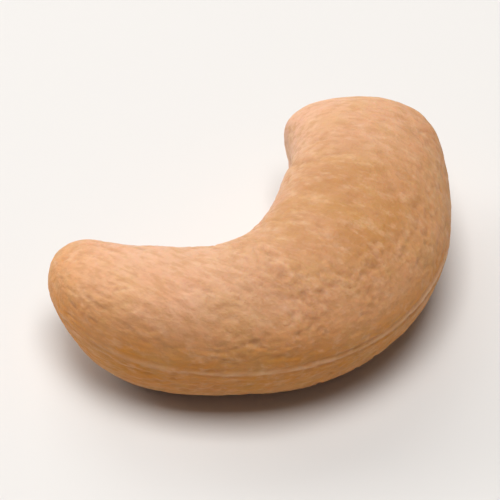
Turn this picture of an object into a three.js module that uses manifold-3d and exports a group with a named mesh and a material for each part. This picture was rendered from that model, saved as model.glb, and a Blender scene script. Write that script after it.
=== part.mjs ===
// One whole cashew kernel, out of its shell, lying on its flank.
// Millimetres, +Z up. X runs along the kernel's length, the hollow of its curve opens towards +Y,
// and Z = 0 is the surface that it lies on.
import * as THREE from "three";
import { mergeVertices } from "three/addons/utils/BufferGeometryUtils.js";
import Module from "manifold-3d";

// The midline is a level curve from the narrow end to the broad end.
// Its headings are degrees from +X at equal steps along it.
const MIDLINE_LENGTH = 34.7;
const MIDLINE_HEADINGS = [-114, -84, -48, -18, 17, 44, 49, 45];
const MIDLINE_HEIGHT = 4.6;

// Half sizes of the cross-section at equal steps along the midline.
const HALF_WIDTHS = [3.6, 4.4, 4.1, 5.45, 5.6, 5.0, 6.5];
const HALF_THICKNESSES = [3.5, 4.2, 4.45, 4.5, 4.4];

// How round each end is, and how square the cross-section is. 2 is an ellipse.
const NARROW_END_POWER = 3.8;
const BROAD_END_POWER = 5;
const SECTION_POWER = 2.15;

// The kernel rests on three low cheeks of its underside, cut flat by the surface it lies on.
// Their places and their reach are shares of the midline.
const CHEEKS = [0.19, 0.5, 0.82];
const CHEEK_REACH = 0.1;
const FLAT_DEPTH = 0.1;

// The seam where the two halves of the kernel meet runs along its outer curve:
// a low keel with a fine groove along its top, which wanders a little up and down.
const KEEL = { rise: 0.12, reach: 0.75 };
const SEAM_GROOVE = { rise: -0.2, reach: 0.2 };
const SEAM_WANDER = { rise: 0.14, waves: 1.7, phase: 0.6 };

// A shallow furrow follows the seam along the inner curve.
const INNER_FURROW = { rise: -0.22, reach: 1.1 };

// How fast the keel gives way to the furrow, going over each end.
const SEAM_CHANGE = 1.5;

// Swellings and dips of the inner curve: where along the midline, how far along it, and how high.
const NOSE = { at: 0.951, reach: 0.035, rise: 0.9 };
const NOTCH = { at: 0.829, reach: 0.06, rise: -0.45 };
const NARROW_END_DIP = { at: 0.1, reach: 0.07, rise: -0.8 };

// A crease runs from the notch over each flank, first back along the kernel and then across it.
const CREASE = { start: 0.877, turn: 0.742, turnDegrees: 62, endDegrees: 98, reach: 0.012, rise: -0.13 };

// Low forms of the upper flank: a hollow along the bend and the broad arm, the rim inside it,
// and the shoulders over the seam at the bend, the broad end and the narrow arm.
// Each has its middle along the midline and round the section, its reach both ways and its rise.
const FLANK_FORMS = [
  { at: 0.65, degrees: 70, reach: 0.2, spread: 34, rise: -0.2 },
  { at: 0.63, degrees: 133, reach: 0.2, spread: 31, rise: 0.1 },
  { at: 0.42, degrees: 17, reach: 0.14, spread: 20, rise: 0.2 },
  { at: 0.87, degrees: 27, reach: 0.1, spread: 35, rise: 0.18 },
  { at: 0.24, degrees: 43, reach: 0.14, spread: 25, rise: 0.26 },
];

// The mesh: more columns near the seam than on the inner curve.
const COLUMNS = 60;
const ROWS = 92;
const SEAM_CROWDING = 0.6;
const MIDLINE_STEPS = 400;

const KERNEL_COLOUR = 0xd4a273;
const KERNEL_ROUGHNESS = 0.55;

// A smooth run through values at equal steps from t = 0 to t = 1: a uniform cubic B-spline.
function smoothRun(values, t) {
  const last = values.length - 1;
  const at = (i) => {
    if (i < 0) return 2 * values[0] - values[1];
    if (i > last) return 2 * values[last] - values[last - 1];
    return values[i];
  };
  const place = THREE.MathUtils.clamp(t, 0, 1) * last;
  const i = Math.min(Math.floor(place), last - 1);
  const f = place - i;
  return (
    (at(i - 1) * (1 - f) ** 3 +
      at(i) * (3 * f ** 3 - 6 * f ** 2 + 4) +
      at(i + 1) * (-3 * f ** 3 + 3 * f ** 2 + 3 * f + 1) +
      at(i + 2) * f ** 3) /
    6
  );
}

// A bell curve that is 1 at zero and falls off over the given reach.
function bell(distance, reach) {
  return Math.exp(-((distance / reach) ** 2));
}

// Points of the midline at equal steps, found by walking along its headings.
function walkMidline() {
  const points = [new THREE.Vector2(0, 0)];
  const step = MIDLINE_LENGTH / MIDLINE_STEPS;
  for (let i = 0; i < MIDLINE_STEPS; i++) {
    const heading = headingAt((i + 0.5) / MIDLINE_STEPS);
    const next = points[i].clone();
    next.x += step * Math.cos(heading);
    next.y += step * Math.sin(heading);
    points.push(next);
  }
  return points;
}

function headingAt(s) {
  return THREE.MathUtils.degToRad(smoothRun(MIDLINE_HEADINGS, s));
}

const midline = walkMidline();

function midlineAt(s) {
  const place = s * MIDLINE_STEPS;
  const i = Math.min(Math.floor(place), MIDLINE_STEPS - 1);
  return midline[i].clone().lerp(midline[i + 1], place - i);
}

// How round the nearer end is.
function endPower(s) {
  return s < 0.5 ? NARROW_END_POWER : BROAD_END_POWER;
}

// 1 along the body, falling to 0 at the two tips.
function endCap(s) {
  return Math.sqrt(Math.max(0, 1 - Math.abs(2 * s - 1) ** endPower(s)));
}

// Which way the surface faces: its share away from the midline and its share along it.
function facing(s, halfWidth) {
  const fromMiddle = 2 * s - 1;
  const power = endPower(s);
  const steepness = (halfWidth * power * Math.abs(fromMiddle) ** (power - 1)) / MIDLINE_LENGTH;
  return new THREE.Vector2(endCap(s), Math.sign(fromMiddle) * steepness).normalize();
}

// One coordinate of the unit section outline, between a circle and a square.
function squared(value) {
  return Math.sign(value) * Math.abs(value) ** (2 / SECTION_POWER);
}

// How far the inner curve stands out of the plain section at a place along the midline.
function innerSwelling(s) {
  let rise = 0;
  for (const bump of [NOSE, NOTCH, NARROW_END_DIP]) {
    rise += bump.rise * bell(s - bump.at, bump.reach);
  }
  return rise;
}

// How far the cheeks stand out under the plain section. Each reaches the same depth.
function cheekSwelling(s) {
  let rise = 0;
  for (const at of CHEEKS) {
    const gap = MIDLINE_HEIGHT - smoothRun(HALF_THICKNESSES, at) * endCap(at);
    rise += (gap + FLAT_DEPTH) * bell(s - at, CHEEK_REACH);
  }
  return rise;
}

// How far the crease sinks at a place on a flank. It starts at the inner curve.
function creaseDepth(s, degrees) {
  const fromInner = 180 - Math.abs(degrees);
  if (fromInner > CREASE.endDegrees) return 0;
  const bow = (fromInner / CREASE.turnDegrees - 1) ** 2;
  const line = CREASE.turn + (CREASE.start - CREASE.turn) * bow;
  return CREASE.rise * (1 - (fromInner / CREASE.endDegrees) ** 2) * bell(s - line, CREASE.reach);
}

// The keel and groove on the outer side and the furrow on the inner side, at a distance across
// the midline and a height over it.
function seamRelief(s, across, up) {
  const outer = 0.5 + 0.5 * Math.tanh(across / SEAM_CHANGE);
  const wave = 2 * Math.PI * SEAM_WANDER.waves * s + SEAM_WANDER.phase;
  const high = up - SEAM_WANDER.rise * Math.sin(wave);
  const keel = KEEL.rise * bell(high, KEEL.reach) + SEAM_GROOVE.rise * bell(high, SEAM_GROOVE.reach);
  const furrow = INNER_FURROW.rise * bell(high, INNER_FURROW.reach);
  return outer * keel + (1 - outer) * furrow;
}

// The low forms of the upper flank.
function flankRelief(s, degrees) {
  let rise = 0;
  for (const form of FLANK_FORMS) {
    const turn = THREE.MathUtils.euclideanModulo(degrees - form.degrees + 180, 360) - 180;
    rise += form.rise * bell(s - form.at, form.reach) * bell(turn, form.spread);
  }
  return rise;
}

// The point of the kernel's surface at a place along the midline and an angle round the section.
// The angle is 0 on the outer curve, and plus or minus pi on the inner one.
function surfacePoint(s, angle) {
  const cap = endCap(s);
  const outward = squared(Math.cos(angle));
  const upward = squared(Math.sin(angle));
  const halfWidth = smoothRun(HALF_WIDTHS, s);
  const fade = Math.min(1, 1.6 * cap);
  const inner = innerSwelling(s) * fade * Math.max(0, -outward) ** 1.5;
  const under = cheekSwelling(s) * fade * Math.max(0, -upward) ** 2;
  const across = halfWidth * cap * outward - inner;
  const up = smoothRun(HALF_THICKNESSES, s) * cap * upward - under;
  const degrees = THREE.MathUtils.radToDeg(angle);
  const forms = fade * flankRelief(s, degrees) + creaseDepth(s, degrees);
  const lift = seamRelief(s, across, up) + forms;
  const normal = facing(s, halfWidth).multiplyScalar(lift);
  const heading = headingAt(s);
  const centre = midlineAt(s);
  const sideways = across + normal.x * outward;
  return new THREE.Vector3(
    centre.x + sideways * Math.sin(heading) + normal.y * Math.cos(heading),
    centre.y - sideways * Math.cos(heading) + normal.y * Math.sin(heading),
    MIDLINE_HEIGHT + up + normal.x * upward,
  );
}

// A sphere whose poles become the two tips and whose meridians run along the kernel.
function kernelGeometry() {
  const geometry = new THREE.SphereGeometry(1, COLUMNS, ROWS);
  const position = geometry.getAttribute("position");
  for (let row = 0; row <= ROWS; row++) {
    const s = (1 - Math.cos((Math.PI * row) / ROWS)) / 2;
    for (let column = 0; column <= COLUMNS; column++) {
      const turn = 2 * Math.PI * ((column % COLUMNS) / COLUMNS);
      const crowded = turn - SEAM_CROWDING * Math.sin(turn);
      const angle = crowded > Math.PI ? crowded - 2 * Math.PI : crowded;
      const point = surfacePoint(s, angle);
      position.setXYZ(row * (COLUMNS + 1) + column, point.x, point.y, point.z);
    }
  }
  return geometry;
}

const wasm = await Module();
wasm.setup();

// A closed three.js geometry as a solid.
function solidOf(geometry) {
  geometry.deleteAttribute("normal");
  geometry.deleteAttribute("uv");
  const merged = mergeVertices(geometry, 1e-5);
  return new wasm.Manifold(
    new wasm.Mesh({
      numProp: 3,
      vertProperties: merged.getAttribute("position").array,
      triVerts: new Uint32Array(merged.index.array),
    }),
  );
}

function geometryOf(solid) {
  const mesh = solid.getMesh();
  const geometry = new THREE.BufferGeometry();
  geometry.setAttribute("position", new THREE.BufferAttribute(mesh.vertProperties, 3));
  geometry.setIndex(new THREE.BufferAttribute(mesh.triVerts, 1));
  geometry.computeVertexNormals();
  return geometry;
}

// The surface that the kernel lies on, as a block to cut its three flats with.
function blockUnderSurface() {
  const side = 4 * MIDLINE_LENGTH;
  return new THREE.BoxGeometry(side, side, side).translate(0, 0, -side / 2);
}

// Moves the kernel so that the middle of its box is over the origin.
function centred(geometry) {
  geometry.computeBoundingBox();
  const middle = geometry.boundingBox.getCenter(new THREE.Vector3());
  return geometry.translate(-middle.x, -middle.y, 0);
}

const body = solidOf(kernelGeometry()).subtract(solidOf(blockUnderSurface()));

const kernel = new THREE.Mesh(
  centred(geometryOf(body)),
  new THREE.MeshStandardMaterial({
    color: KERNEL_COLOUR,
    roughness: KERNEL_ROUGHNESS,
    metalness: 0,
  }),
);
kernel.name = "kernel";

const cashew = new THREE.Group();
cashew.add(kernel);

export default cashew;
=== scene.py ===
import itertools
import math

import bpy
import numpy as np
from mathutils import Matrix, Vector


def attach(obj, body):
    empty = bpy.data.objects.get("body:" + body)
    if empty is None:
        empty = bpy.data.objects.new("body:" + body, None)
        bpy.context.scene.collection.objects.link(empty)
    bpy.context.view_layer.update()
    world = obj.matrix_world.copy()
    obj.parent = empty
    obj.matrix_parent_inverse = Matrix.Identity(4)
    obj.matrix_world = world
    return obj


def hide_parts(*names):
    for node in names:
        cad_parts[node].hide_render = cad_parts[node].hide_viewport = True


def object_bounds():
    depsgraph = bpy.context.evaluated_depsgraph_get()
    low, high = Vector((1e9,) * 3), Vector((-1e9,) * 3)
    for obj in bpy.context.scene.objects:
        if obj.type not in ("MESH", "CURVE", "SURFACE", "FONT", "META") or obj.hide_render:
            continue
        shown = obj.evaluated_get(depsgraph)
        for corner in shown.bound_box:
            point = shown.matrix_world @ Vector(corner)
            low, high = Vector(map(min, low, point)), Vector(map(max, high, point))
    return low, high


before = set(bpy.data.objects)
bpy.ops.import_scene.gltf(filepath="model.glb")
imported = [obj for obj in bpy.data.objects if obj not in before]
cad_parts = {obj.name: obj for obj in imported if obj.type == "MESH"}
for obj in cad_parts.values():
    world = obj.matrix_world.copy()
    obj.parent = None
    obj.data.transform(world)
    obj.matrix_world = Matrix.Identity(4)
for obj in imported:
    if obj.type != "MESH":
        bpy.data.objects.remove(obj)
cad_low, cad_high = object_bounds()

# One whole cashew kernel, out of its shell, lying on its flank.
# The shape is worked out in millimetres and turned into metres when the mesh is made.
MM = 0.001

# The kernel's form, with the same values as the solid that it stands for. Tips and sections are
# superellipses of these powers, and reliefs fade out towards the tips.
MIDLINE_LENGTH = 34.7
MIDLINE_HEADINGS = [-114, -84, -48, -18, 17, 44, 49, 45]
MIDLINE_HEIGHT = 4.6
MIDLINE_STEPS = 400
HALF_WIDTHS = [3.6, 4.4, 4.1, 5.45, 5.6, 5.0, 6.5]
HALF_THICKNESSES = [3.5, 4.2, 4.45, 4.5, 4.4]
NARROW_END_POWER = 3.8
BROAD_END_POWER = 5
END_FADE = 1.6
SECTION_POWER = 2.15
CHEEKS = [0.19, 0.5, 0.82]
CHEEK_REACH = 0.1
FLAT_DEPTH = 0.1

# Swellings and dips of the inner curve.
NOSE = {"at": 0.951, "reach": 0.035, "rise": 0.9}
NOTCH = {"at": 0.829, "reach": 0.06, "rise": -0.45}
NARROW_END_DIP = {"at": 0.1, "reach": 0.07, "rise": -0.8}
INNER_SPREAD_POWER = 1.5
CHEEK_SPREAD_POWER = 2

# The seam on the outer curve: a keel, the two fine grooves along it and how they wander up and down.
# The grooves are faint at the narrow end, and shallower in places, as the noise says.
KEEL = {"rise": 0.12, "reach": 0.75}
SEAM_GROOVE = {"rise": -0.09, "reach": 0.1, "apart": 0.44}
SEAM_WANDER = {"rise": 0.14, "waves": 1.7, "phase": 0.6}
SEAM_FADE = {"narrow": 0.12, "full": 0.5, "least": 0.25}
SEAM_DEPTH = {"along": 3, "usual": 0.75, "change": 0.9, "least": 0.3, "seed": 23}
INNER_FURROW = {"rise": -0.22, "reach": 1.1}
SEAM_CHANGE = 1.5

# Where the outer side's deep yellow is strongest, just under the seam: partly the kernel's own tone and
# partly painted shade and warm bounce light on its lower side. And where the flanks of the bend are a
# darker tan.
GOLD_AND_SHADE_BAND = {"height": -0.7, "reach": 3.5}
DARKER_BEND_FLANKS = {"at": 0.6, "reach": 0.22, "low": 1.8, "high": 4.0}

# Fine lines that run beside the seam: their height over it and how deep and wide they are.
SEAM_LINES = [
    {"height": 0.55, "rise": -0.035, "reach": 0.1},
    {"height": 1.0, "rise": -0.03, "reach": 0.09},
    {"height": 1.5, "rise": -0.035, "reach": 0.1},
    {"height": -0.7, "rise": -0.03, "reach": 0.1},
    {"height": -1.3, "rise": -0.025, "reach": 0.1},
]

# How these lines drift up and down, where they break off, and the part of the midline that they follow.
SEAM_LINE_DRIFT = {"along": 7, "rise": 0.16, "seed": 21}
SEAM_LINE_DEPTH = {"along": 5, "usual": 0.6, "change": 1.6, "least": 0, "seed": 22}
SEAM_LINE_SPAN = {"at": 0.45, "reach": 0.22}

# A crease runs from the notch over each flank, first back along the kernel and then across it.
# It starts at this slant to the kernel's own cross-sections.
CREASE = {
    "start": 0.877,
    "turn": 0.742,
    "turn_degrees": 62,
    "end_degrees": 98,
    "slant": 1.7,
    "reach": 0.0065,
    "rise": -0.1,
}

# Low forms of the upper flank: a hollow along the bend and the broad arm, the rim inside it,
# and the shoulders over the seam at the bend, the broad end and the narrow arm.
FLANK_FORMS = [
    {"at": 0.65, "degrees": 70, "reach": 0.2, "spread": 34, "rise": -0.2},
    {"at": 0.63, "degrees": 133, "reach": 0.2, "spread": 31, "rise": 0.1},
    {"at": 0.42, "degrees": 17, "reach": 0.14, "spread": 20, "rise": 0.2},
    {"at": 0.87, "degrees": 27, "reach": 0.1, "spread": 35, "rise": 0.18},
    {"at": 0.24, "degrees": 43, "reach": 0.14, "spread": 25, "rise": 0.26},
]

# The skin's fine lines run this way, in degrees from +X, at the narrow end and the broad end.
SKIN_LINES = {"narrow": -84, "broad": -40}

# Uneven skin, as noise: its size along the midline and across it, and how far it rises.
NOISE_GAIN = 1.6
LUMPS = {"along": 3.4, "across": 3.0, "rise": 0.07, "seed": 11}
DIMPLES = {"along": 1.3, "across": 1.5, "rise": 0.025, "seed": 12}
STREAKS = {"along": 8.0, "across": 0.45, "rise": 0.01, "seed": 15}

# Short wrinkles, made where two kinds of noise are over a start. They are bent by a third kind and
# deeper in patches. Their sizes are along the skin's lines and across them.
WRINKLES = {"along": 0.9, "across": 0.4, "rise": -0.1, "seed": 16}
FINE_WRINKLES = {"along": 0.55, "across": 0.25, "rise": -0.085, "seed": 17}
WRINKLE_PATCHES = {"along": 3.2, "across": 2.4, "usual": 0.65, "change": 1.0, "least": 0.25, "seed": 14}
WRINKLE_STEEPNESS = 1.8
WRINKLE_START = 0.1
WRINKLE_BEND = {"along": 1.5, "across": 1.5, "rise": 0.3, "seed": 18}
RIPPLES = {"along": 1.2, "across": 0.7, "rise": 0.03, "seed": 13}

# The wrinkles are deepest on the flanks of the bend. Elsewhere only this share of them is left.
WRINKLED = {"at": 0.45, "reach": 0.34, "low": -2, "high": 2, "least": 0.3}

ROWS = 490
COLUMNS = 202
SEAM_CROWDING = 0.55

# The camera stands off the middle of the kernel's box, in the photograph's direction, and looks at
# the middle of what it sees of the kernel. The field is how wide it sees there.
VIEW_AZIMUTH = 316.5
VIEW_ELEVATION = 42
VIEW_DISTANCE = 0.204
VIEW_AIM = Vector((-0.0017, 0.0016, 0.0047))
VIEW_FIELD = 0.0296
SENSOR_WIDTH = 36

# Soft lights at the camera's left, behind the kernel and overhead, in watts, degrees and metres.
LIGHT_DISTANCE = 0.5
LIGHT_SIZE = 0.3
LIGHTS = [
    {"name": "side", "turn": 240, "elevation": 22, "power": 1.0, "colour": (1, 0.98, 0.95)},
    {"name": "back", "turn": 195, "elevation": 40, "power": 0.8, "colour": (1, 0.98, 0.95)},
    {"name": "top", "turn": 0, "elevation": 85, "power": 2.4, "colour": (1, 0.98, 0.96)},
]
WORLD_COLOUR = (1, 0.98, 0.96, 1)
WORLD_STRENGTH = 0.1

# A plain pale floor, in metres.
FLOOR_HALF_WIDTH = 3
FLOOR_COLOUR = (0.72, 0.71, 0.70, 1)


def smooth_run(values, t):
    """A uniform cubic B-spline over values at equal steps from t = 0 to t = 1."""
    padded = np.array([2 * values[0] - values[1], *values, 2 * values[-1] - values[-2]], float)
    last = len(values) - 1
    place = np.clip(t, 0, 1) * last
    i = np.minimum(place.astype(int), last - 1)
    f = place - i
    return (
        padded[i] * (1 - f) ** 3
        + padded[i + 1] * (3 * f**3 - 6 * f**2 + 4)
        + padded[i + 2] * (-3 * f**3 + 3 * f**2 + 3 * f + 1)
        + padded[i + 3] * f**3
    ) / 6


def bell(distance, reach):
    """1 at zero, falling off over the reach."""
    return np.exp(-((distance / reach) ** 2))


def noise(points, seed):
    """Smooth seeded noise between about -1 and 1 at each of an array of points."""
    random = np.random.default_rng(seed)
    table = random.permutation(256)
    slopes = random.normal(size=(256, 3))
    slopes /= np.linalg.norm(slopes, axis=1)[:, None]
    cell = np.floor(points).astype(int)
    inside = points - cell
    ease = inside**3 * (inside * (inside * 6 - 15) + 10)
    total = np.zeros(points.shape[:-1])
    for corner in itertools.product((0, 1), repeat=3):
        at = cell + corner
        index = table[at[..., 0] & 255]
        index = table[(index + at[..., 1]) & 255]
        index = table[(index + at[..., 2]) & 255]
        height = (slopes[index] * (inside - corner)).sum(-1)
        share = np.where(corner, ease, 1 - ease).prod(-1)
        total += height * share
    return NOISE_GAIN * total


def grain_noise(grain, kind):
    """Noise in the kernel's own directions, stretched as one of the skin's kinds says."""
    size = np.array([kind["along"], kind["across"], kind["across"]])
    return noise(grain / size, kind["seed"])


def midline_noise(grain, kind, number=0):
    """Noise that changes along the midline alone, different for each number."""
    return noise(grain * [1 / kind["along"], 0, 0] + [0.3, 0.4, number + 0.5], kind["seed"])


def uneven_depth(pattern, kind):
    """How much of a mark's depth there is, where noise makes it shallower in places."""
    return np.clip(kind["usual"] + kind["change"] * pattern, kind["least"], 1)


def heading_at(s):
    return np.radians(smooth_run(MIDLINE_HEADINGS, s))


def midline_at(s):
    """The midline's points, found by walking along its headings."""
    middles = (np.arange(MIDLINE_STEPS) + 0.5) / MIDLINE_STEPS
    headings = heading_at(middles)
    step = MIDLINE_LENGTH / MIDLINE_STEPS
    x = np.append(0, np.cumsum(np.cos(headings))) * step
    y = np.append(0, np.cumsum(np.sin(headings))) * step
    places = np.linspace(0, 1, MIDLINE_STEPS + 1)
    return np.interp(s, places, x), np.interp(s, places, y)


def end_power(s):
    return np.where(s < 0.5, NARROW_END_POWER, BROAD_END_POWER)


def end_cap(s):
    """1 along the body, falling to 0 at the two tips."""
    return np.sqrt(np.maximum(0, 1 - np.abs(2 * s - 1) ** end_power(s)))


def facing(s, half_width):
    """Which way the surface faces: its share away from the midline and its share along it."""
    from_middle = 2 * s - 1
    power = end_power(s)
    steepness = half_width * power * np.abs(from_middle) ** (power - 1) / MIDLINE_LENGTH
    along = np.sign(from_middle) * steepness
    away = end_cap(s)
    length = np.hypot(away, along)
    return away / length, along / length


def squared(value):
    """One coordinate of the unit section outline, between a circle and a square."""
    return np.sign(value) * np.abs(value) ** (2 / SECTION_POWER)


def inner_swelling(s):
    bumps = (NOSE, NOTCH, NARROW_END_DIP)
    return sum(bump["rise"] * bell(s - bump["at"], bump["reach"]) for bump in bumps)


def cheek_swelling(s):
    """How far the three cheeks that it rests on stand out under the plain section."""
    rise = np.zeros_like(s)
    for at in CHEEKS:
        place = np.array(at)
        gap = MIDLINE_HEIGHT - smooth_run(HALF_THICKNESSES, place) * end_cap(place)
        rise += (gap + FLAT_DEPTH) * bell(s - at, CHEEK_REACH)
    return rise


def crease_mark(s, degrees):
    """1 in the crease, falling to 0 beside it and at its end."""
    from_inner = 180 - np.abs(degrees)
    bow = from_inner / CREASE["turn_degrees"] - 1
    line = CREASE["turn"] + (CREASE["start"] - CREASE["turn"]) * bow**2
    reach = CREASE["reach"] * np.hypot(1, CREASE["slant"] * bow)
    depth = np.maximum(0, 1 - (from_inner / CREASE["end_degrees"]) ** 2)
    return depth * bell(s - line, reach)


def seam_height(s, up):
    """The height over the seam, which wanders a little."""
    turn = 2 * math.pi * SEAM_WANDER["waves"] * s + SEAM_WANDER["phase"]
    return up - SEAM_WANDER["rise"] * np.sin(turn)


def seam_strength(s):
    """How plain the seam is: faint at the narrow end and full from the bend on."""
    place = np.clip((s - SEAM_FADE["narrow"]) / (SEAM_FADE["full"] - SEAM_FADE["narrow"]), 0, 1)
    return SEAM_FADE["least"] + (1 - SEAM_FADE["least"]) * place


def seam_relief(outer, high, strength, grain):
    """The keel with its two grooves on the outer side, and the furrow on the inner side."""
    beside = np.abs(high) - SEAM_GROOVE["apart"] / 2
    kept = uneven_depth(midline_noise(grain, SEAM_DEPTH), SEAM_DEPTH)
    grooves = strength * kept * SEAM_GROOVE["rise"] * bell(beside, SEAM_GROOVE["reach"])
    keel = KEEL["rise"] * bell(high, KEEL["reach"]) + grooves
    furrow = INNER_FURROW["rise"] * bell(high, INNER_FURROW["reach"])
    return outer * keel + (1 - outer) * furrow


def seam_line_relief(outer, high, grain):
    """The fine lines beside the seam, each broken where the noise says, and none at the ends."""
    rise = np.zeros_like(high)
    for number, line in enumerate(SEAM_LINES):
        drift = SEAM_LINE_DRIFT["rise"] * midline_noise(grain, SEAM_LINE_DRIFT, number)
        kept = uneven_depth(midline_noise(grain, SEAM_LINE_DEPTH, number), SEAM_LINE_DEPTH)
        rise += line["rise"] * kept * bell(high - line["height"] - drift, line["reach"])
    s = grain[..., 0] / MIDLINE_LENGTH
    return outer * rise * bell(s - SEAM_LINE_SPAN["at"], SEAM_LINE_SPAN["reach"])


def flank_relief(s, degrees):
    rise = np.zeros_like(s)
    for form in FLANK_FORMS:
        turn = (degrees - form["degrees"] + 180) % 360 - 180
        rise += form["rise"] * bell(s - form["at"], form["reach"]) * bell(turn, form["spread"])
    return rise


def along_lines(s, x, y, up):
    """Places on the skin, measured along its fine lines, across them and upwards."""
    heading = np.radians(SKIN_LINES["narrow"] + (SKIN_LINES["broad"] - SKIN_LINES["narrow"]) * s**2)
    x = x - x.mean()
    y = y - y.mean()
    along = x * np.cos(heading) + y * np.sin(heading)
    return np.stack([along, y * np.cos(heading) - x * np.sin(heading), up], -1)


def flank_share(up, zone):
    """How far a place is on its way from a zone's low height, over or under the middle, to its high one."""
    return np.clip((np.abs(up) - zone["low"]) / (zone["high"] - zone["low"]), 0, 1)


def wrinkled(s, up):
    """How much of the wrinkles' depth there is at a place."""
    at_bend = flank_share(up, WRINKLED) ** 2 * bell(s - WRINKLED["at"], WRINKLED["reach"])
    return WRINKLED["least"] + (1 - WRINKLED["least"]) * at_bend


def wrinkle_marks(lines):
    """How deep the wrinkles and the fine wrinkles are, from 0 to about 1."""
    bent = lines + WRINKLE_BEND["rise"] * grain_noise(lines, WRINKLE_BEND)[..., None] * [0, 1, 0]
    patches = uneven_depth(grain_noise(lines, WRINKLE_PATCHES), WRINKLE_PATCHES)
    patterns = [grain_noise(bent, kind) for kind in (WRINKLES, FINE_WRINKLES)]
    return [patches * np.clip(WRINKLE_STEEPNESS * pattern - WRINKLE_START, 0, 1) for pattern in patterns]


def skin_relief(grain, lines):
    """The uneven skin: lumps, dimples, faint streaks along the kernel and ripples along its lines."""
    kinds = (LUMPS, DIMPLES, STREAKS)
    uneven = sum(kind["rise"] * grain_noise(grain, kind) for kind in kinds)
    return uneven + RIPPLES["rise"] * grain_noise(lines, RIPPLES)


def kernel_surface(s, angle):
    """Points of the surface in millimetres, with what the material needs to know there."""
    cap = end_cap(s)
    outward = squared(np.cos(angle))
    upward = squared(np.sin(angle))
    half_width = smooth_run(HALF_WIDTHS, s)
    fade = np.minimum(1, END_FADE * cap)
    inner = inner_swelling(s) * fade * np.maximum(0, -outward) ** INNER_SPREAD_POWER
    under = cheek_swelling(s) * fade * np.maximum(0, -upward) ** CHEEK_SPREAD_POWER
    across = half_width * cap * outward - inner
    up = smooth_run(HALF_THICKNESSES, s) * cap * upward - under
    grain = np.stack([s * MIDLINE_LENGTH, across, up], -1)
    heading = heading_at(s)
    x, y = midline_at(s)
    lines = along_lines(s, x + across * np.sin(heading), y - across * np.cos(heading), up)
    outer = 0.5 + 0.5 * np.tanh(across / SEAM_CHANGE)
    high = seam_height(s, up)
    degrees = np.degrees(angle)
    crease = crease_mark(s, degrees)
    wrinkles, fine_wrinkles = [wrinkled(s, up) * mark for mark in wrinkle_marks(lines)]
    strength = seam_strength(s)
    lift = seam_relief(outer, high, strength, grain) + seam_line_relief(outer, high, grain)
    lift += fade * flank_relief(s, degrees) + CREASE["rise"] * crease
    lift += skin_relief(grain, lines)
    lift += WRINKLES["rise"] * wrinkles + FINE_WRINKLES["rise"] * fine_wrinkles
    away, along = facing(s, half_width)
    sideways = across + lift * away * outward
    points = np.stack(
        [
            x + sideways * np.sin(heading) + lift * along * np.cos(heading),
            y - sideways * np.cos(heading) + lift * along * np.sin(heading),
            np.maximum(0, MIDLINE_HEIGHT + up + lift * away * upward),
        ],
        -1,
    )
    ridge = outer * strength * bell(high, SEAM_GROOVE["apart"] / 2)
    # The deep yellow under the seam: partly the kernel's own tone, partly painted shade and warm bounce
    # light on the lower side.
    gold_and_shade = outer * bell(up - GOLD_AND_SHADE_BAND["height"], GOLD_AND_SHADE_BAND["reach"])
    # A darker tan on the flanks of the bend.
    darker_bend_flanks = flank_share(up, DARKER_BEND_FLANKS) * bell(s - DARKER_BEND_FLANKS["at"], DARKER_BEND_FLANKS["reach"])
    # Masks for the pale seam ridge and for the painted shade in the crease and the wrinkles.
    marks = np.stack([ridge, crease, np.maximum(wrinkles, fine_wrinkles)], -1)
    tints_and_shade = np.stack([gold_and_shade, darker_bend_flanks, np.zeros_like(gold_and_shade)], -1)
    return points, {"grain": grain, "lines": lines, "marks": marks, "tints_and_shade": tints_and_shade}


def fitted(points):
    """The points in metres, inside the solid's box: centred, on the ground and no larger."""
    low = points.min(0)
    high = points.max(0)
    room = np.array(cad_high - cad_low)
    scale = (room / (high - low)).min()
    middle = (low + high) / 2
    middle[2] = low[2]
    place = np.array((cad_low + cad_high) / 2)
    place[2] = cad_low[2]
    return (points - middle) * scale + place


def grid_faces():
    """Four-sided faces between the rows and a fan of triangles round each tip."""
    last = (ROWS - 1) * COLUMNS + 1
    column = np.arange(COLUMNS)
    after = (column + 1) % COLUMNS
    faces = [(0, 1 + a, 1 + b) for a, b in zip(column, after)]
    for row in range(ROWS - 2):
        near = 1 + row * COLUMNS
        far = near + COLUMNS
        faces += [(near + a, far + a, far + b, near + b) for a, b in zip(column, after)]
    ring = 1 + (ROWS - 2) * COLUMNS
    faces += [(ring + a, last, ring + b) for a, b in zip(column, after)]
    return faces


def ungridded(values):
    """The grid's values as one list, with each tip once."""
    rest = values.shape[2:]
    return np.concatenate([values[0, :1], values[1:-1].reshape(-1, *rest), values[-1, :1]])


def kernel_mesh():
    phi = np.linspace(0, math.pi, ROWS + 1)
    turn = 2 * math.pi * np.arange(COLUMNS) / COLUMNS
    angle = turn - SEAM_CROWDING * np.sin(turn)
    angle = np.where(angle > math.pi, angle - 2 * math.pi, angle)
    s, angle = np.meshgrid((1 - np.cos(phi)) / 2, angle, indexing="ij")
    points, told = kernel_surface(s, angle)
    mesh = bpy.data.meshes.new("cashew_kernel")
    mesh.from_pydata(fitted(ungridded(points) * MM).tolist(), [], grid_faces())
    for name, values in told.items():
        attribute = mesh.attributes.new(name, "FLOAT_VECTOR", "POINT")
        attribute.data.foreach_set("vector", ungridded(values).astype(np.float32).ravel())
    mesh.polygons.foreach_set("use_smooth", [True] * len(mesh.polygons))
    mesh.update()
    return mesh


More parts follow.
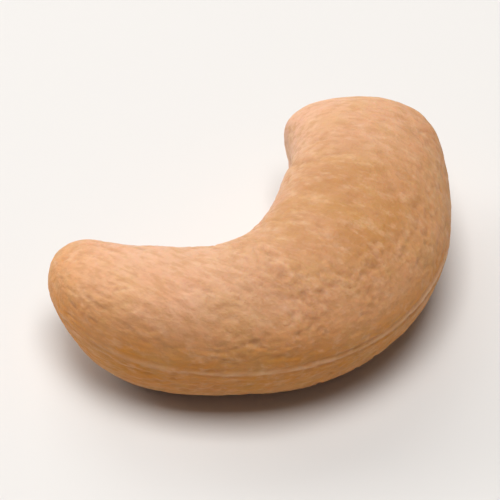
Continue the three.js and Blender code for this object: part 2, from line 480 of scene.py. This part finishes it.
class Nodes:
    """A short way to write a material's nodes."""

    def __init__(self, material):
        self.tree = material.node_tree

    def add(self, kind, **settings):
        node = self.tree.nodes.new(kind)
        for name, value in settings.items():
            setattr(node, name, value)
        return node

    def link(self, output, socket):
        self.tree.links.new(output, socket)

    def attribute(self, name):
        return self.add("ShaderNodeAttribute", attribute_name=name).outputs["Vector"]

    def scaled(self, vector, scale):
        node = self.add("ShaderNodeVectorMath", operation="MULTIPLY")
        self.link(vector, node.inputs[0])
        node.inputs[1].default_value = scale
        return node.outputs[0]

    def noise(self, vector, scale, detail=3, roughness=0.5):
        node = self.add("ShaderNodeTexNoise")
        self.link(self.scaled(vector, scale), node.inputs["Vector"])
        node.inputs["Scale"].default_value = 1
        node.inputs["Detail"].default_value = detail
        node.inputs["Roughness"].default_value = roughness
        return node.outputs["Fac"]

    def ranged(self, value, low, high, to_low=0, to_high=1):
        node = self.add("ShaderNodeMapRange", interpolation_type="SMOOTHSTEP")
        self.link(value, node.inputs["Value"])
        node.inputs["From Min"].default_value = low
        node.inputs["From Max"].default_value = high
        node.inputs["To Min"].default_value = to_low
        node.inputs["To Max"].default_value = to_high
        return node.outputs["Result"]

    def maths(self, operation, first, second):
        node = self.add("ShaderNodeMath", operation=operation)
        for socket, value in zip(node.inputs, (first, second)):
            if isinstance(value, (int, float)):
                socket.default_value = value
            else:
                self.link(value, socket)
        return node.outputs[0]

    def separate(self, vector):
        node = self.add("ShaderNodeSeparateXYZ")
        self.link(vector, node.inputs[0])
        return node.outputs

    def mixed(self, factor, first, second):
        node = self.add("ShaderNodeMix", data_type="RGBA")
        sockets = [socket for socket in node.inputs if socket.type == "RGBA"]
        for socket, value in zip([node.inputs[0], *sockets], (factor, first, second)):
            if isinstance(value, bpy.types.NodeSocket):
                self.link(value, socket)
            else:
                socket.default_value = value
        return next(socket for socket in node.outputs if socket.type == "RGBA")


CREAM = (0.71, 0.425, 0.275, 1)
PINK = (0.70, 0.40, 0.26, 1)
TAN = (0.475, 0.23, 0.085, 1)
# Deep yellow for under the seam, partly painted shade and warm bounce light.
GOLD_AND_UNDERSIDE_SHADE = (0.61, 0.235, 0.03, 1)
OCHRE = (0.56, 0.32, 0.10, 1)
PALE = (0.82, 0.55, 0.37, 1)
# Russet for the painted shade in the wrinkles.
WRINKLE_SHADE_RUSSET = (0.42, 0.17, 0.07, 1)
# Brown for the specks in the skin and for the painted shade in the crease.
BROWN_SPECKS_AND_CREASE_SHADE = (0.36, 0.13, 0.04, 1)

# How much painted shade the wrinkles and the crease take on: their darker colour stands for the shade in
# their hollows.
WRINKLE_SHADE = 0.36
CREASE_SHADE = 0.35

# Patches of colour in the skin, from broad to fine: the noise's fineness along the skin's lines and
# across them, where it starts to show and is full, and how much of the colour there is then.
SKIN_PATCHES = [
    {
        "along": 0.35, "across": 0.6, "detail": 3, "roughness": 0.5,
        "starts": 0.46, "full": 0.66, "share": 0.25, "colour": OCHRE,
    },
    {
        "along": 0.8, "across": 2.0, "detail": 4, "roughness": 0.6,
        "starts": 0.48, "full": 0.7, "share": 0.24, "colour": PALE,
    },
    {
        "along": 0.9, "across": 2.4, "detail": 4, "roughness": 0.6,
        "starts": 0.44, "full": 0.66, "share": 0.4, "colour": TAN,
    },
]


def kernel_colour(nodes, grain, lines):
    """The skin's colour: its broad colours, with painted shade in the deep yellow under the seam, then its
    patches, then the marks and specks on it, with painted shade in the wrinkles and the crease.
    """
    ridge, crease, wrinkles = nodes.separate(nodes.attribute("marks"))
    gold_and_shade, darker_bend_flanks, _ = nodes.separate(nodes.attribute("tints_and_shade"))
    broad = nodes.noise(grain, (0.22, 0.28, 0.28), detail=3)
    colour = nodes.mixed(nodes.ranged(broad, 0.38, 0.62), CREAM, PINK)
    uneven = nodes.noise(grain, (0.35, 0.4, 0.4), detail=4, roughness=0.6)
    # Darker tan on the flanks of the bend.
    tan = nodes.maths("MULTIPLY", darker_bend_flanks, nodes.ranged(uneven, 0.3, 0.7, 0.7, 1.1))
    colour = nodes.mixed(tan, colour, TAN)
    # Painted shade and warm bounce light on the lower outer side, with some of the kernel's own deeper
    # tone.
    gold_and_shade_share = nodes.maths("MULTIPLY", gold_and_shade, nodes.ranged(uneven, 0.3, 0.7, 1.1, 0.85))
    colour = nodes.mixed(gold_and_shade_share, colour, GOLD_AND_UNDERSIDE_SHADE)
    for patch in SKIN_PATCHES:
        scale = (patch["along"], patch["across"], patch["across"])
        pattern = nodes.noise(lines, scale, patch["detail"], patch["roughness"])
        share = nodes.ranged(pattern, patch["starts"], patch["full"], 0, patch["share"])
        colour = nodes.mixed(share, colour, patch["colour"])
    seam_patches = nodes.noise(grain, (0.45, 1, 1), detail=3, roughness=0.6)
    seam_tint = nodes.maths("MULTIPLY", ridge, nodes.ranged(seam_patches, 0.38, 0.62, 0.15, 0.55))
    colour = nodes.mixed(seam_tint, colour, PALE)
    # Painted shade in the wrinkles.
    colour = nodes.mixed(nodes.maths("MULTIPLY", wrinkles, WRINKLE_SHADE), colour, WRINKLE_SHADE_RUSSET)
    # Painted shade in the crease.
    colour = nodes.mixed(nodes.maths("MULTIPLY", crease, CREASE_SHADE), colour, BROWN_SPECKS_AND_CREASE_SHADE)
    # Brown specks of the skin's own.
    specks = nodes.noise(grain, (3.0, 3.0, 3.0), detail=2)
    return nodes.mixed(nodes.ranged(specks, 0.73, 0.8, 0, 0.4), colour, BROWN_SPECKS_AND_CREASE_SHADE)


def kernel_material():
    material = bpy.data.materials.new("nut_meat")
    material.use_nodes = True
    nodes = Nodes(material)
    shader = material.node_tree.nodes["Principled BSDF"]
    grain = nodes.attribute("grain")
    lines = nodes.attribute("lines")
    nodes.link(kernel_colour(nodes, grain, lines), shader.inputs["Base Color"])

    sheen_patches = nodes.noise(grain, (0.8, 0.8, 0.8), detail=3)
    nodes.link(nodes.ranged(sheen_patches, 0.3, 0.7, 0.46, 0.6), shader.inputs["Roughness"])
    shader.inputs["Subsurface Weight"].default_value = 0.35
    shader.inputs["Subsurface Radius"].default_value = (1.0, 0.4, 0.15)
    shader.inputs["Subsurface Scale"].default_value = 0.0008
    shader.inputs["IOR"].default_value = 1.45
    shader.inputs["Specular IOR Level"].default_value = 0.25

    strokes = nodes.noise(lines, (1.5, 2.6, 2.6), detail=4, roughness=0.6)
    pores = nodes.noise(grain, (6, 5, 5), detail=2)
    height = nodes.maths("ADD", strokes, nodes.maths("MULTIPLY", pores, 0.4))
    bump = nodes.add("ShaderNodeBump")
    bump.inputs["Strength"].default_value = 1
    bump.inputs["Distance"].default_value = 0.00008
    nodes.link(height, bump.inputs["Height"])
    nodes.link(bump.outputs["Normal"], shader.inputs["Normal"])
    return material


def add_kernel():
    piece = bpy.data.objects.new("cashew_kernel", kernel_mesh())
    bpy.context.scene.collection.objects.link(piece)
    piece.data.materials.append(kernel_material())
    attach(piece, "root")
    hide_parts("kernel")


def add_floor():
    side = FLOOR_HALF_WIDTH
    corners = [(-side, -side, 0), (side, -side, 0), (side, side, 0), (-side, side, 0)]
    mesh = bpy.data.meshes.new("floor")
    mesh.from_pydata(corners, [], [(0, 1, 2, 3)])
    material = bpy.data.materials.new("floor")
    material.use_nodes = True
    shader = material.node_tree.nodes["Principled BSDF"]
    shader.inputs["Base Color"].default_value = FLOOR_COLOUR
    shader.inputs["Roughness"].default_value = 0.9
    shader.inputs["Specular IOR Level"].default_value = 0.1
    mesh.materials.append(material)
    floor = bpy.data.objects.new("floor", mesh)
    bpy.context.scene.collection.objects.link(floor)


def direction_at(azimuth, elevation):
    """The way a camera looks from that azimuth and elevation. Azimuth 0 looks along +Y."""
    turn = math.radians(azimuth)
    tilt = math.radians(elevation)
    return Vector((-math.sin(turn) * math.cos(tilt), math.cos(turn) * math.cos(tilt), -math.sin(tilt)))


def aimed(thing, place, target):
    thing.location = place
    thing.rotation_euler = (target - place).to_track_quat("-Z", "Y").to_euler()
    bpy.context.scene.collection.objects.link(thing)


def add_camera():
    middle = (cad_low + cad_high) / 2
    camera = bpy.data.cameras.new("camera")
    camera.sensor_width = SENSOR_WIDTH
    camera.lens = SENSOR_WIDTH * VIEW_DISTANCE / VIEW_FIELD
    camera.clip_start = 0.01
    thing = bpy.data.objects.new("camera", camera)
    aimed(thing, middle - VIEW_DISTANCE * direction_at(VIEW_AZIMUTH, VIEW_ELEVATION), VIEW_AIM)
    bpy.context.scene.camera = thing


def add_light(name, turn, elevation, power, colour):
    """A soft square light that shines at the kernel from the way given, turned from the camera's."""
    light = bpy.data.lights.new(name, "AREA")
    light.size = LIGHT_SIZE
    light.energy = power
    light.color = colour
    target = (cad_low + cad_high) / 2
    thing = bpy.data.objects.new(name, light)
    aimed(thing, target - LIGHT_DISTANCE * direction_at(VIEW_AZIMUTH + turn, elevation), target)


def add_lights():
    for light in LIGHTS:
        add_light(**light)
    world = bpy.data.worlds.new("studio")
    world.use_nodes = True
    background = world.node_tree.nodes["Background"]
    background.inputs["Color"].default_value = WORLD_COLOUR
    background.inputs["Strength"].default_value = WORLD_STRENGTH
    bpy.context.scene.world = world
    bpy.context.scene.view_settings.view_transform = "Standard"


add_camera()
add_kernel()
add_floor()
add_lights()
